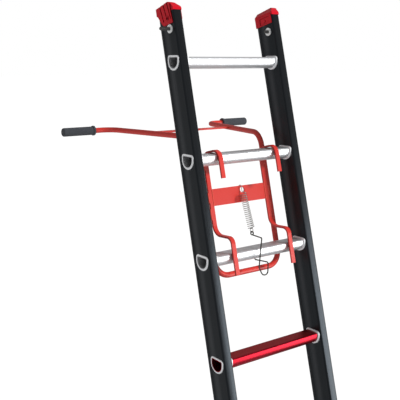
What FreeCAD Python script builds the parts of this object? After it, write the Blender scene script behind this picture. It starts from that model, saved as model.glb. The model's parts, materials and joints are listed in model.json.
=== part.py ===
import FreeCAD, Part
import math
import os

# Two-section extension ladder standing at its working lean, with a wall stand-off hooked
# over two rungs near the top. Millimetres. +Z is up, +Y points towards the wall, X is
# across the ladder. The origin is on the floor, midway between the two base stiles.
# Each piece is drawn on an upright ladder, where Y is the depth and Z runs up the stile,
# and is tipped about the X axis by the working lean when it is written.

V = FreeCAD.Vector
X_AXIS = V(1, 0, 0)
Y_AXIS = V(0, 1, 0)
SIDES = {"left": -1, "right": 1}

# ---------------------------------------------------------------- driving dimensions
lean = 14.0                 # degrees from plumb
rung_count = 11             # rungs in each section
rung_pitch = 250.0
extension_steps = 7         # pitches by which the fly section is raised
first_rung_rise = 250.0     # floor to the first base rung, along the stile
fly_clear_width = 300.0     # between the inner faces of the fly stiles
side_gap = 4.0              # fly stile to base stile, each side

# stile: a box section, deeper than it is wide
stile_width = 26.0
stile_front = 29.5          # rung centre to the climbing face
stile_back = 40.5           # rung centre to the wall face
stile_wall = 2.0
stile_front_round = 4.0
stile_back_round = 8.0
stile_above_rung = 128.0    # top rung centre to the stile's top end
stile_below_rung = 100.0    # fly only: lowest rung centre to the stile's bottom end
foot_sole = 18.0            # base stile's end above the floor, at the rung plane

# rung: a D tube with a level tread
tread_depth = 40.0
rung_height = 30.0
tread_round = 4.0
rung_wall = 1.6
rung_fit = 0.1              # D hole in the stile, all round
swage_lip = 4.0             # swaged flange beyond the tube, outside
swage_thick = 1.8
collar_lip = 3.8            # beaded collar inside
collar_thick = 4.5
edge_round = 1.2

section_gap = 15.5          # base rung to the fly stile's wall face

# end caps
cap_rise = 24.0
cap_ridge = -13.0           # depth of the cap's ridge
cap_brow = -21.0            # depth where the front slope eases off
cap_brow_rise = 20.0
cap_front_edge = 7.0        # height of the front edge
cap_back_edge = 20.0
cap_slope_run = 15.0        # width of the slope along the inner edge
cap_slope_fall = 15.0
cap_overhang = 1.0
cap_round = 1.2
cap_cheek_thick = 2.5
cap_cheek_drop = 31.5
cheek_front_inset = 9.5     # outer cheek's front edge at the stile's top end
cheek_front_low = 5.5       # and at its foot
cheek_back_inset = 1.5
cheek_toe_depth = 13.0      # where its level foot ends
cheek_heel_depth = 20.0     # where its slanting back edge starts
cheek_heel_lift = 4.0
groove_depths = (-14.0, 2.0, 18.0)
groove_width = 3.5
groove_cut = 1.6
groove_low = 10.0           # above the cheek's lower edge
groove_tilt = 12.0
cap_eye_radius = 4.0
cap_eye_rim = 2.0
cap_eye_stand = 1.0
cap_eye_depth = -4.0
cap_eye_drop = 16.0
inner_cheek_thick = 2.0
inner_cheek_drop = 22.0
inner_cheek_front = 4.0     # from the stile's climbing face
inner_cheek_back = 1.5
inner_cheek_lift = 3.0      # above the stile's top end
cap_recess = 1.4
recess_front = -19.0
recess_back = 21.0
recess_drop = 19.0
cap_boss_radius = 4.0
cap_boss_depth = 3.0
cap_boss_drop = 11.0
cap_fit = 0.2
cap_plug_length = 24.0
end_plug_flange = 5.0
stud_radius = 4.5
stud_outside = {"left": 30.0, "right": 12.0}
stud_inside = 13.0
stud_relief = 0.3           # depth of the groove between the washer and the thread
stud_relief_width = 1.0
stud_drop = 43.0            # below the stile's top end
stud_depth = -6.0
stud_chamfer = 0.8
washer_radius = 11.0
washer_thick = 2.0

# guides at the top of the base section
guide_fit = 0.8
claw_thick = 6.0
claw_wrap = 12.0            # lip across the fly stile's climbing face
claw_low = 22.0             # above the top base rung
claw_high = 62.0
claw_round = 2.0
spine_rise = 4.0            # above the base stile's top end

# hooks that stand the fly section on a base rung
hook_thick = 4.0
hook_seat = 0.4
hook_finger = 15.0
hook_finger_gap = 1.9       # finger to the widest part of the base rung
hook_finger_drop = 14.0
hook_finger_lead = 3.0      # slant that leads the finger over the rung
hook_finger_lead_rise = 8.0
hook_arm_drop = 36.0        # the arm's top below the body's top
hook_arm_start = 8.0
hook_shoulder = 12.0
hook_corner = 6.0
hook_corner_rise = 8.0
hook_body_inset = 8.0       # from the fly stile's climbing face
hook_body_low = 30.0
hook_body_high = 92.0
hook_plate_round = 2.0
hook_leg_gap = 5.8          # leg to the front of the base rung
hook_leg_clear = 2.6        # leg to the collar of the fly rung
rivet_radius = 3.0
rivet_head = 5.5
rivet_head_thick = 2.2
rivet_bulb = 3.0
rivet_inset = 14.0          # from the hook body's upper and lower edges
rivet_depths = (-10.0, 20.0)
latch_thick = 3.5
latch_gap = 0.5
latch_boss = 9.0
latch_drop = 28.0           # pivot below the rung centre
latch_play = 3.3            # tongue below the rung
latch_tongue = 46.0
latch_tongue_height = 11.0
latch_tab = 24.0
latch_tab_width = 12.0
latch_round = 4.0
pin_radius = 3.0
pin_fit = 0.06
pin_head = 5.5
pin_head_thick = 2.0
pin_end_play = 0.3

# base feet and stabiliser
boot_wall = 3.5
boot_top = 52.0
bar_length = 940.0
bar_height = 60.0
bar_depth = 30.0
bar_wall = 2.5
bar_round = 4.0
bar_low = 56.0
bar_foot_length = 46.0
bar_foot_wall = 4.0
bolt_radius = 5.0
bolt_fit = 0.2
bolt_head_flats = 17.0
bolt_head_thick = 6.0
bolt_beyond = 14.0          # bolt end behind the base stile
nut_thick = 9.0
bolt_spacing = 30.0

# wall stand-off
tube_radius = 7.5
tube_wall = 1.5
tube_corner = 40.0
tube_top_bend = 45.0
strap_width = 12.0
strap_thick = 5.0
strap_half_spacing = 94.5
strap_rung_gap = 2.5
strap_back_gap = 16.8       # hooked rung to the strap's back leg
tube_set_back = 5.7         # tube behind the strap's middle
weld_gap = 0.3
hook_rung = 1               # upper hooks sit on this rung, counted down from the top rung
upper_tail = 51.0           # strap end below the upper hooked rung
lower_tail = 44.0           # strap end below the next rung down
strap_seat = 0.3            # strap to the hooked rung's tread corner
hook_bend = 22.0            # both corners of the hook over the rung
strap_bend = 16.5
strap_step_high = 60.0      # where the strap turns forward, above the lower rung
strap_step_low = 48.0
strap_step_bend = 28.0
arm_drop = 191.0            # arms below the top rung, plumb
arm_reach = 324.0           # grips behind the top rung, level
arm_half_spread = 174.0
grip_start = 229.0
grip_length = 98.0
grip_radius = 12.0
grip_collar_radius = 14.0
grip_collar_length = 7.0
grip_collar_round = 2.0
grip_end_round = 4.0
grip_end_wall = 5.0
brace_reach = 178.0
brace_depth = 16.0
brace_thick = 5.0
frame_foot = 47.0           # lowest tube below the lower hooked rung
cross_plate_height = 44.0
cross_plate_thick = 4.0
cross_plate_top = 73.0      # below the upper hooked rung
eye_hole_radius = 7.5
eye_hole_drop = 11.0
eye_hole_side = 11.0        # to the right of the ladder's middle
spring_radius = 9.4
spring_bore = 7.4
spring_depth = 9.0          # its lower end
spring_start = 11.0         # below the eye hole
spring_length = 93.0        # along the stile
spring_top_side = 3.0
spring_plate_gap = 1.0
spring_wire = 0.9
spring_hook_set = 5.0       # its upper hook, behind the coil's middle
spring_hook_bends = (5.0, 3.0, 2.0)
spring_hook_gap = 0.6
spring_hook_back_gap = 1.0
loop_radius = 5.9
wire_radius = 1.6
wire_eye_radius = 4.4
wire_gap = 0.3
wire_front_gap = 5.7
wire_under_gap = 3.0        # bent wire below the rung
wire_back_gap = 2.6
wire_tip_drop = 4.0         # hook's tip below the rung centre
wire_shoulder_drop = 10.0
wire_shoulder_side = 2.0
wire_side_set = 25.0        # finger loop, to the left
wire_loop_left = 18.0
wire_loop_right = 7.0
wire_under_side = 3.0
wire_under_depth = 16.0     # where the wire turns up behind the rung
wire_tip_side = 6.0
wire_bends = (4.0, 9.0, 11.0, 11.0, 6.0, 4.0)
wire_loop_high = 36.0       # below the rung centre
wire_loop_low = 58.0
wire_return_drop = 28.0

# ---------------------------------------------------------------- worked-out places
sin_lean = math.sin(math.radians(lean))
cos_lean = math.cos(math.radians(lean))
tread_half = tread_depth / 2
rung_half = rung_height / 2
belly_rise = tread_half - rung_half
corner_in = tread_half - tread_round
corner_up = rung_half - tread_round
rung_front_reach = corner_in * cos_lean + corner_up * sin_lean + tread_round
rung_back_reach = tread_half - belly_rise * sin_lean
rung_bottom_reach = tread_half - belly_rise * cos_lean

fly_inner = fly_clear_width / 2
fly_outer = fly_inner + stile_width
base_inner = fly_outer + side_gap
base_outer = base_inner + stile_width
base_middle = (base_inner + base_outer) / 2
fly_depth = -(rung_front_reach + section_gap + stile_back)
fly_rise = first_rung_rise + extension_steps * rung_pitch
base_top_rung = first_rung_rise + (rung_count - 1) * rung_pitch
fly_top_rung = base_top_rung + extension_steps * rung_pitch
base_top = base_top_rung + stile_above_rung
fly_top = fly_top_rung + stile_above_rung
fly_bottom = fly_rise - stile_below_rung
fly_front = fly_depth - stile_front
hooked_rung = fly_top_rung - hook_rung * rung_pitch
lower_rung = hooked_rung - rung_pitch


# ---------------------------------------------------------------- drawing helpers
def box(x0, x1, y0, y1, z0, z1):
    return Part.makeBox(x1 - x0, y1 - y0, z1 - z0, V(x0, y0, z0))


def rod_x(radius, x0, x1, y, z):
    return Part.makeCylinder(radius, x1 - x0, V(x0, y, z), X_AXIS)


def rod_y(radius, y0, y1, x, z):
    return Part.makeCylinder(radius, y1 - y0, V(x, y0, z), Y_AXIS)


def plate_x(outline, x0, x1, corner=0.0):
    """Plate between two planes across X, from (depth, height) corners, with rounded corners."""
    points = [V(x0, y, z) for y, z in outline]
    face = Part.Face(Part.makePolygon(points + points[:1]))
    if corner:
        face = face.makeOffset2D(-corner, 2).makeOffset2D(corner, 0)
    return face.extrude(V(x1 - x0, 0, 0))


def hexagon_y(flats, y0, y1, x, z):
    radius = flats / math.sqrt(3)
    points = []
    for corner in range(7):
        angle = math.radians(60 * corner)
        points.append(V(x + radius * math.cos(angle), y0, z + radius * math.sin(angle)))
    return Part.Face(Part.makePolygon(points)).extrude(V(0, y1 - y0, 0))


def rounded_path(points, radii):
    """Straight runs joined by tangent arcs; each inner point has its own radius."""
    edges = []
    start = points[0]
    for before, corner, after, radius in zip(points, points[1:], points[2:], radii):
        incoming = (corner - before).normalize()
        outgoing = (after - corner).normalize()
        turn = incoming.getAngle(outgoing)
        setback = radius * math.tan(turn / 2)
        inward = (outgoing - incoming).normalize()
        middle = corner + inward * (radius / math.cos(turn / 2) - radius)
        first = corner - incoming * setback
        last = corner + outgoing * setback
        edges.append(Part.LineSegment(start, first).toShape())
        edges.append(Part.Arc(first, middle, last).toShape())
        start = last
    edges.append(Part.LineSegment(start, points[-1]).toShape())
    return Part.Wire(edges)


def round_bar(points, radii, radius):
    """Round bar that follows straight runs and arcs."""
    path = rounded_path(points, radii)
    direction = points[1] - points[0]
    profile = Part.Wire(Part.makeCircle(radius, points[0], direction))
    return path.makePipeShell([profile], True, False)


def flat_bar(points, radii, width, thick):
    """Flat bar bent on the plane across X."""
    path = rounded_path(points, radii)
    side = X_AXIS * (width / 2)
    direction = (points[1] - points[0]).normalize()
    up = X_AXIS.cross(direction) * (thick / 2)
    start = points[0]
    corners = [start + side + up, start - side + up, start - side - up, start + side - up]
    profile = Part.makePolygon(corners + corners[:1])
    return path.makePipeShell([profile], True, False)


def mirrored(shape, side):
    """A piece drawn on the right, or its mirror image on the left."""
    if side > 0:
        return shape
    return shape.mirror(V(0, 0, 0), X_AXIS)


def join(shapes):
    return shapes[0].multiFuse(shapes[1:]).removeSplitter()


def tip_over(shape):
    leaned = shape.copy()
    leaned.rotate(V(0, 0, 0), X_AXIS, -lean)
    return leaned


def save(name, shape):
    shape.exportStep(os.path.join("parts", name + ".step"))


def save_leaned(name, shape):
    save(name, tip_over(shape))


# ---------------------------------------------------------------- rungs and stiles
def d_section(grow, x, depth, height):
    """D outline on the plane across X, its flat tread level once the ladder leans."""
    half = tread_half + grow
    top = rung_half + grow
    corner = max(tread_round + grow, 0.5)
    diagonal = corner * (1 - math.sqrt(0.5))
    edges = [
        Part.LineSegment(V(x, -half, belly_rise), V(x, -half, top - corner)),
        Part.Arc(V(x, -half, top - corner), V(x, -half + diagonal, top - diagonal),
                 V(x, -half + corner, top)),
        Part.LineSegment(V(x, -half + corner, top), V(x, half - corner, top)),
        Part.Arc(V(x, half - corner, top), V(x, half - diagonal, top - diagonal),
                 V(x, half, top - corner)),
        Part.LineSegment(V(x, half, top - corner), V(x, half, belly_rise)),
        Part.Arc(V(x, half, belly_rise), V(x, 0, belly_rise - half),
                 V(x, -half, belly_rise)),
    ]
    outline = Part.Wire([edge.toShape() for edge in edges])
    outline.rotate(V(0, 0, 0), X_AXIS, lean)
    outline.translate(V(0, depth, height))
    return outline


def d_prism(grow, x0, x1, depth, height):
    face = Part.Face(d_section(grow, x0, depth, height))
    return face.extrude(V(x1 - x0, 0, 0))


def rounded_rim(shape, x, radius):
    """Round the edges of a flange that lie on one plane across X."""
    rim = [edge for edge in shape.Edges
           if abs(edge.BoundBox.XMin - x) < 0.001 and abs(edge.BoundBox.XMax - x) < 0.001]
    return shape.makeFillet(radius, rim)


def rung(inner, depth, height):
    """D tube through both stiles."""
    end = inner + stile_width + swage_thick
    hollow = d_prism(-rung_wall, -end - 1, end + 1, depth, height)
    return d_prism(0, -end, end, depth, height).cut(hollow)


def rung_collars(inner, depth, height):
    """A flange outside and a bead inside, pressed on the right end of a rung."""
    outer = inner + stile_width
    end = outer + swage_thick
    flange = d_prism(swage_lip, outer, end, depth, height)
    flange = rounded_rim(flange, end, edge_round)
    bead = d_prism(collar_lip, inner - collar_thick, inner, depth, height)
    bead = rounded_rim(bead, inner - collar_thick, 2 * edge_round)
    tube = d_prism(0, inner - collar_thick - 1, end + 1, depth, height)
    return [flange.cut(tube), bead.cut(tube)]


def stile_outline(x0, x1, y0, y1, front_round, back_round, z):
    """Rounded rectangle with its own radius on the climbing side and on the wall side."""
    def corner(x, y, radius, along_x, along_y):
        diagonal = radius * (1 - math.sqrt(0.5))
        return (V(x, y + along_y * radius, z),
                V(x + along_x * diagonal, y + along_y * diagonal, z),
                V(x + along_x * radius, y, z))

    front_left = corner(x0, y0, front_round, 1, 1)
    front_right = tuple(reversed(corner(x1, y0, front_round, -1, 1)))
    back_right = corner(x1, y1, back_round, -1, -1)
    back_left = tuple(reversed(corner(x0, y1, back_round, 1, -1)))
    arcs = [front_left, front_right, back_right, back_left]
    edges = []
    for arc, following in zip(arcs, arcs[1:] + arcs[:1]):
        edges.append(Part.Arc(*arc).toShape())
        edges.append(Part.LineSegment(arc[2], following[0]).toShape())
    return Part.Wire(edges)


def stile_prism(inner, depth, z0, z1, grow):
    """Solid stile section on the right side; a negative grow gives the hollow inside."""
    outline = stile_outline(inner - grow, inner + stile_width + grow,
                            depth - stile_front - grow, depth + stile_back + grow,
                            max(stile_front_round + grow, 0.5),
                            max(stile_back_round + grow, 0.5), z0)
    return Part.Face(outline).extrude(V(0, 0, z1 - z0))


def stile(inner, depth, z0, z1, first_rung):
    shell = stile_prism(inner, depth, z0, z1, 0)
    shell = shell.cut(stile_prism(inner, depth, z0 - 1, z1 + 1, -stile_wall))
    for step in range(rung_count):
        height = first_rung + step * rung_pitch
        shell = shell.cut(d_prism(rung_fit, inner - 1, inner + stile_width + 1, depth, height))
    return shell


def fly_stile():
    shell = stile(fly_inner, fly_depth, fly_bottom, fly_top, fly_rise)
    shell = shell.cut(rod_x(stud_radius + rung_fit, fly_inner - 1, fly_outer + 1,
                            fly_depth + stud_depth, fly_top - stud_drop))
    for depth, height in hook_rivet_places():
        shell = shell.cut(rod_x(rivet_radius, fly_inner - 1, fly_inner + stile_wall + 1,
                                depth, height))
    return shell


def bolt_heights():
    middle = bar_low + bar_height / 2
    return [middle - bolt_spacing / 2, middle + bolt_spacing / 2]


def base_stile():
    shell = stile(base_inner, 0, foot_sole, base_top, first_rung_rise)
    for height in bolt_heights():
        shell = shell.cut(rod_y(bolt_radius + bolt_fit, -stile_front - 1, stile_back + 1,
                                base_middle, height))
    return shell


# ---------------------------------------------------------------- caps, studs and guides
def cap_top(front, back, depth, top):
    """Upper edge of a cap, from its front to its back."""
    return [
        (front, top + cap_front_edge),
        (depth + cap_brow, top + cap_brow_rise),
        (depth + cap_ridge, top + cap_rise),
        (back, top + cap_back_edge),
    ]


def cap_block(inner, depth, top):
    """Block on a stile's end, sloped along its inner edge, with a plug inside the section."""
    front = depth - stile_front - cap_overhang
    back = depth + stile_back + cap_overhang
    outline = [(front, top)] + cap_top(front, back, depth, top) + [(back, top)]
    block = plate_x(outline, inner, inner + stile_width)
    slope_top = V(inner + cap_slope_run, front - 1, top + cap_rise)
    slope_foot = V(inner - 1, front - 1, top + cap_rise
                   - cap_slope_fall * (cap_slope_run + 1) / cap_slope_run)
    above = V(inner - 1, front - 1, top + cap_rise + 1)
    wedge = Part.Face(Part.makePolygon([slope_top, slope_foot, above, slope_top]))
    block = block.cut(wedge.extrude(V(0, back - front + 2, 0)))
    block = block.makeFillet(cap_round, [edge for edge in block.Edges
                                         if edge.BoundBox.ZMin > top + 1
                                         and edge.BoundBox.XMax < inner + stile_width - 1])
    plug = stile_prism(inner, depth, top - cap_plug_length, top + 1, -stile_wall - cap_fit)
    return block.fuse(plug)


def outer_cheek(inner, depth, top):
    """Tapered cheek on the stile's outer face, with grooves and an eye hole."""
    face = inner + stile_width
    outside = face + cap_cheek_thick
    low = top - cap_cheek_drop
    front = depth - stile_front - cap_overhang
    back = depth + stile_back + cap_overhang
    outline = cap_top(front, back, depth, top)[1:] + [
        (back, top + 1),
        (depth + stile_back - cheek_back_inset, top + 1),
        (depth + cheek_heel_depth, low + cheek_heel_lift),
        (depth + cheek_toe_depth, low),
        (depth - stile_front + cheek_front_low, low),
        (depth - stile_front + cheek_front_inset, top + 1),
    ]
    cheek = plate_x(outline, face, outside)
    for groove in groove_depths:
        middle = depth + groove
        slot = box(outside - groove_cut, outside + 1, middle - groove_width / 2,
                   middle + groove_width / 2, low + groove_low, top + cap_rise)
        slot.rotate(V(outside, middle, top), X_AXIS, -groove_tilt)
        cheek = cheek.cut(slot)
    eye_depth = depth + cap_eye_depth
    eye_height = top - cap_eye_drop
    rim = rod_x(cap_eye_radius + cap_eye_rim, face, outside + cap_eye_stand,
                eye_depth, eye_height)
    eye = rod_x(cap_eye_radius, face - 1, outside + cap_eye_stand + 1, eye_depth, eye_height)
    return cheek.fuse(rim).cut(eye)


def inner_cheek(inner, depth, top):
    """Square cheek on the stile's inner face, with a recessed panel and a boss."""
    inside = inner - inner_cheek_thick
    front = depth - stile_front + inner_cheek_front
    back = depth + stile_back - inner_cheek_back
    cheek = box(inside, inner, front, back, top - inner_cheek_drop, top + inner_cheek_lift)
    panel = box(inside - 1, inside + cap_recess, depth + recess_front, depth + recess_back,
                top - recess_drop, top - 1)
    boss = rod_x(cap_boss_radius, inside, inner, depth + cap_boss_depth, top - cap_boss_drop)
    return cheek.cut(panel).fuse(boss)


def fly_cap():
    parts = [cap_block(fly_inner, fly_depth, fly_top), outer_cheek(fly_inner, fly_depth, fly_top),
             inner_cheek(fly_inner, fly_depth, fly_top)]
    return join(parts)


def cap_stud(outside):
    """Threaded stud through a fly stile, with a relief groove beyond its outer washer."""
    depth = fly_depth + stud_depth
    height = fly_top - stud_drop
    stud = rod_x(stud_radius, fly_inner - stud_inside, fly_outer + outside, depth, height)
    stud = stud.makeChamfer(stud_chamfer, [edge for edge in stud.Edges
                                           if edge.BoundBox.XLength < 0.001])
    groove_start = fly_outer + washer_thick
    groove_end = groove_start + stud_relief_width
    groove = rod_x(stud_radius + 1, groove_start, groove_end, depth, height)
    core = rod_x(stud_radius - stud_relief, groove_start, groove_end, depth, height)
    return stud.cut(groove.cut(core))


def stud_washer_pair():
    """A washer on each face of a fly stile."""
    depth = fly_depth + stud_depth
    height = fly_top - stud_drop
    washers = []
    for x0 in (fly_inner - washer_thick, fly_outer):
        washer = rod_x(washer_radius, x0, x0 + washer_thick, depth, height)
        hole = rod_x(stud_radius, x0 - 1, x0 + washer_thick + 1, depth, height)
        washers.append(washer.cut(hole))
    return washers


def fly_end_plug():
    """Plug in the bottom end of a fly stile."""
    flange = stile_prism(fly_inner, fly_depth, fly_bottom - end_plug_flange, fly_bottom, 0)
    plug = stile_prism(fly_inner, fly_depth, fly_bottom - 1, fly_bottom + cap_plug_length,
                       -stile_wall - cap_fit)
    return flange.fuse(plug)


def base_guide():
    """Cap on a base stile with an arm and a claw that keep the fly stile alongside."""
    block = cap_block(base_inner, 0, base_top)
    low = base_top_rung + claw_low
    high = base_top_rung + claw_high
    claw_inside = fly_outer + swage_thick + guide_fit
    front = fly_front - guide_fit
    arm = box(claw_inside, claw_inside + claw_thick, front - claw_thick, -stile_front, low, high)
    lip = box(fly_outer - claw_wrap, claw_inside + claw_thick, front - claw_thick, front,
              low, high)
    spine = box(base_inner, base_outer, -stile_front - claw_thick, -stile_front,
                low, base_top + spine_rise)
    lip_edges = [edge for edge in lip.Edges if edge.BoundBox.ZLength > 1]
    lip = lip.makeFillet(claw_round, lip_edges)
    return join([block, arm, lip, spine])


# ---------------------------------------------------------------- hooks and latches
def hook_rivet_places():
    """Depth and height of the three rivets that hold a hook plate."""
    front = fly_depth + rivet_depths[0]
    back = fly_depth + rivet_depths[1]
    low = fly_rise + hook_body_low + rivet_inset
    high = fly_rise + hook_body_high - rivet_inset
    return [(front, low), (front, high), (back, high)]


def hook_leg():
    """Front and back edges of the hook plate's leg, in front of the base rung."""
    back = -rung_front_reach - hook_leg_gap
    front = fly_depth + rung_back_reach + collar_lip + hook_leg_clear
    return front, back


def latch_pivot():
    leg_front, leg_back = hook_leg()
    return (leg_front + leg_back) / 2, fly_rise - latch_drop


def hook_plate():
    """Plate on the fly stile's inner face that hooks over a base rung."""
    height = fly_rise
    leg_front, leg_back = hook_leg()
    finger_front = rung_back_reach + hook_finger_gap
    finger_back = finger_front + hook_finger
    finger_low = height - hook_finger_drop
    body_front = fly_depth - stile_front + hook_body_inset
    arm_top = height + hook_body_high - hook_arm_drop
    leg_low = height - latch_drop - latch_boss
    outline = [
        (body_front, height + hook_body_low),
        (body_front, height + hook_body_high),
        (leg_back - hook_shoulder, height + hook_body_high),
        (leg_back + hook_arm_start, arm_top),
        (finger_back - hook_corner, arm_top),
        (finger_back, arm_top - hook_corner_rise),
        (finger_back, finger_low),
        (finger_front + hook_finger_lead, finger_low),
        (finger_front, finger_low + hook_finger_lead_rise),
        (finger_front, height + rung_half),
        (leg_back, height + rung_half),
        (leg_back, leg_low),
        (leg_front, leg_low),
        (leg_front, height + hook_body_low),
    ]
    plate = plate_x(outline, fly_inner - hook_thick, fly_inner, hook_plate_round)
    plate = plate.cut(d_prism(hook_seat, fly_inner - hook_thick - 1, fly_inner + 1, 0, height))
    for depth, place in hook_rivet_places():
        plate = plate.cut(rod_x(rivet_radius, fly_inner - hook_thick - 1, fly_inner + 1,
                                depth, place))
    pivot_depth, pivot_height = latch_pivot()
    return plate.cut(rod_x(pin_radius, fly_inner - hook_thick - 1, fly_inner + 1,
                           pivot_depth, pivot_height))


def domed_head(radius, thick, x, depth, height):
    """Low dome that stands towards the middle of the ladder from a plane across X."""
    head = rod_x(radius, x - thick, x, depth, height)
    return rounded_rim(head, x - thick, thick * 0.6)


def hook_rivets():
    rivets = []
    inside = fly_inner - hook_thick
    for depth, height in hook_rivet_places():
        shank = rod_x(rivet_radius, inside, fly_inner + stile_wall, depth, height)
        bulb = rod_x(rivet_head - 1, fly_inner + stile_wall,
                     fly_inner + stile_wall + rivet_bulb, depth, height)
        head = domed_head(rivet_head, rivet_head_thick, inside, depth, height)
        rivets.append(join([shank, bulb, head]))
    return rivets


def latch():
    """Swinging latch whose tongue lies under the base rung, so the hook can't lift off."""
    depth, height = latch_pivot()
    outside = fly_inner - hook_thick - latch_gap
    inside = outside - latch_thick
    tongue_top = fly_rise - rung_bottom_reach - latch_play
    boss = rod_x(latch_boss, inside, outside, depth, height)
    tongue = box(inside, outside, depth, depth + latch_tongue,
                 tongue_top - latch_tongue_height, tongue_top)
    tongue_end = [edge for edge in tongue.Edges
                  if edge.BoundBox.XLength > 1 and edge.BoundBox.YMin > depth + 1]
    tongue = tongue.makeFillet(latch_round, tongue_end)
    tab = box(inside, outside, depth - latch_tab_width / 2, depth + latch_tab_width / 2,
              height - latch_tab, height)
    tab_end = [edge for edge in tab.Edges
               if edge.BoundBox.XLength > 1 and edge.BoundBox.ZMax < height - 1]
    tab = tab.makeFillet(latch_round, tab_end)
    hole = rod_x(pin_radius + pin_fit, inside - 1, outside + 1, depth, height)
    return join([boss, tongue, tab]).cut(hole)


def latch_pin():
    depth, height = latch_pivot()
    latch_inside = fly_inner - hook_thick - latch_gap - latch_thick
    head_face = latch_inside - pin_end_play
    shank = rod_x(pin_radius, head_face, fly_inner, depth, height)
    return shank.fuse(domed_head(pin_head, pin_head_thick, head_face, depth, height))


# ---------------------------------------------------------------- feet and stabiliser
def above_floor(shape):
    """Tip a foot to the working lean and cut it level at the floor."""
    room = box(-bar_length, bar_length, -bar_length, bar_length, 0, bar_length)
    return tip_over(shape).common(room)


def stile_boot():
    outer = stile_prism(base_inner, 0, -2 * foot_sole, boot_top, boot_wall)
    pocket = stile_prism(base_inner, 0, foot_sole, boot_top + 1, 0)
    return above_floor(outer.cut(pocket))


def bar_section(grow, x0, x1):
    y0 = -stile_front - bar_depth - grow
    z0 = bar_low - grow
    bar = box(x0, x1, y0, y0 + bar_depth + 2 * grow, z0, z0 + bar_height + 2 * grow)
    edges = [edge for edge in bar.Edges if edge.BoundBox.XLength > 1]
    return bar.makeFillet(max(bar_round + grow, 0.5), edges)


def stabiliser_bar():
    half = bar_length / 2
    bar = bar_section(0, -half, half).cut(bar_section(-bar_wall, -half - 1, half + 1))
    for side in (-1, 1):
        for height in bolt_heights():
            bar = bar.cut(rod_y(bolt_radius + bolt_fit, -stile_front - bar_depth - 1,
                                -stile_front + 1, side * base_middle, height))
    return bar


def stabiliser_foot():
    """Rubber end foot that plugs over the bar and reaches down to the floor."""
    half = bar_length / 2
    x0 = half - bar_foot_length
    x1 = half + bar_foot_wall
    y0 = -stile_front - bar_depth - bar_foot_wall
    body = box(x0, x1, y0, y0 + bar_depth + 2 * bar_foot_wall, -bar_height,
               bar_low + bar_height + bar_foot_wall)
    edges = [edge for edge in body.Edges if edge.BoundBox.ZLength > 1]
    body = body.makeFillet(bar_foot_wall, edges)
    return above_floor(body.cut(bar_section(0, x0 - 1, half)))


def stabiliser_bolts():
    """Bolts from the bar's front, through each base stile, and their nuts behind."""
    bolts = []
    nuts = []
    front = -stile_front - bar_depth
    for height in bolt_heights():
        head = hexagon_y(bolt_head_flats, front - bolt_head_thick, front, base_middle, height)
        shank = rod_y(bolt_radius, front, stile_back + bolt_beyond, base_middle, height)
        bolts.append(head.fuse(shank))
        nut_back = stile_back + nut_thick
        nut = hexagon_y(bolt_head_flats, stile_back, nut_back, base_middle, height)
        hole = rod_y(bolt_radius, stile_back - 1, nut_back + 1, base_middle, height)
        nuts.append(nut.cut(hole))
    return bolts, nuts


# ---------------------------------------------------------------- wall stand-off
def level_point(x, reach, drop):
    """Place given level and plumb from the top rung, on the upright ladder."""
    depth = reach * cos_lean + drop * sin_lean
    height = reach * sin_lean - drop * cos_lean
    return V(x, fly_depth + depth, fly_top_rung + height)


strap_front = fly_depth - rung_front_reach - strap_rung_gap - strap_thick / 2
strap_back = fly_depth + rung_back_reach + strap_back_gap + strap_thick / 2
leg_depth = strap_back + tube_set_back
strap_outer_edge = strap_half_spacing + strap_width / 2
tread_corner_height = corner_in * sin_lean + corner_up * cos_lean
strap_rise = tread_corner_height + tread_round + strap_seat + strap_thick / 2
tube_chord = math.sqrt(tube_radius ** 2 - (tube_set_back - strap_thick / 2) ** 2)
leg_half_spacing = strap_outer_edge + weld_gap + tube_chord


def standoff_route():
    """Centre line of the one bent tube: grip, arm, leg, foot, leg, arm, grip."""
    grip_end = grip_start + grip_length - grip_end_wall
    local_depth = leg_depth - fly_depth
    leg_height = (local_depth * sin_lean - arm_drop) / cos_lean
    foot_height = lower_rung - frame_foot
    right = [
        level_point(grip_end, arm_reach, arm_drop),
        level_point(arm_half_spread, arm_reach, arm_drop),
        V(leg_half_spacing, leg_depth, fly_top_rung + leg_height),
        V(leg_half_spacing, leg_depth, foot_height),
    ]
    left = [V(-point.x, point.y, point.z) for point in reversed(right)]
    bends = [tube_corner, tube_top_bend, tube_corner]
    return right + left, bends + bends[::-1]


def standoff_tube():
    points, bends = standoff_route()
    outside = round_bar(points, bends, tube_radius)
    inside = round_bar(points, bends, tube_radius - tube_wall)
    return outside.cut(inside), outside


def grip():
    start = level_point(grip_start, arm_reach, arm_drop)
    collar = rod_x(grip_collar_radius, start.x, start.x + grip_collar_length, start.y, start.z)
    collar = collar.makeFillet(grip_collar_round, collar.Edges[:1] + collar.Edges[2:])
    body = rod_x(grip_radius, start.x + 1, start.x + grip_length, start.y, start.z)
    body = rounded_rim(body, start.x + grip_length, grip_end_round)
    bore = rod_x(tube_radius, start.x - 1, start.x + grip_length - grip_end_wall,
                 start.y, start.z)
    return join([collar, body]).cut(bore)


def arm_brace(tube_outside):
    """Flat bar between the arms, level, ending on the tube."""
    middle = level_point(0, brace_reach, arm_drop)
    bar = box(-arm_half_spread, arm_half_spread, middle.y - brace_depth / 2,
              middle.y + brace_depth / 2, middle.z - brace_thick / 2,
              middle.z + brace_thick / 2)
    bar.rotate(middle, X_AXIS, lean)
    solids = bar.cut(tube_outside).Solids
    return min(solids, key=lambda solid: abs(solid.CenterOfMass.x))


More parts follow.
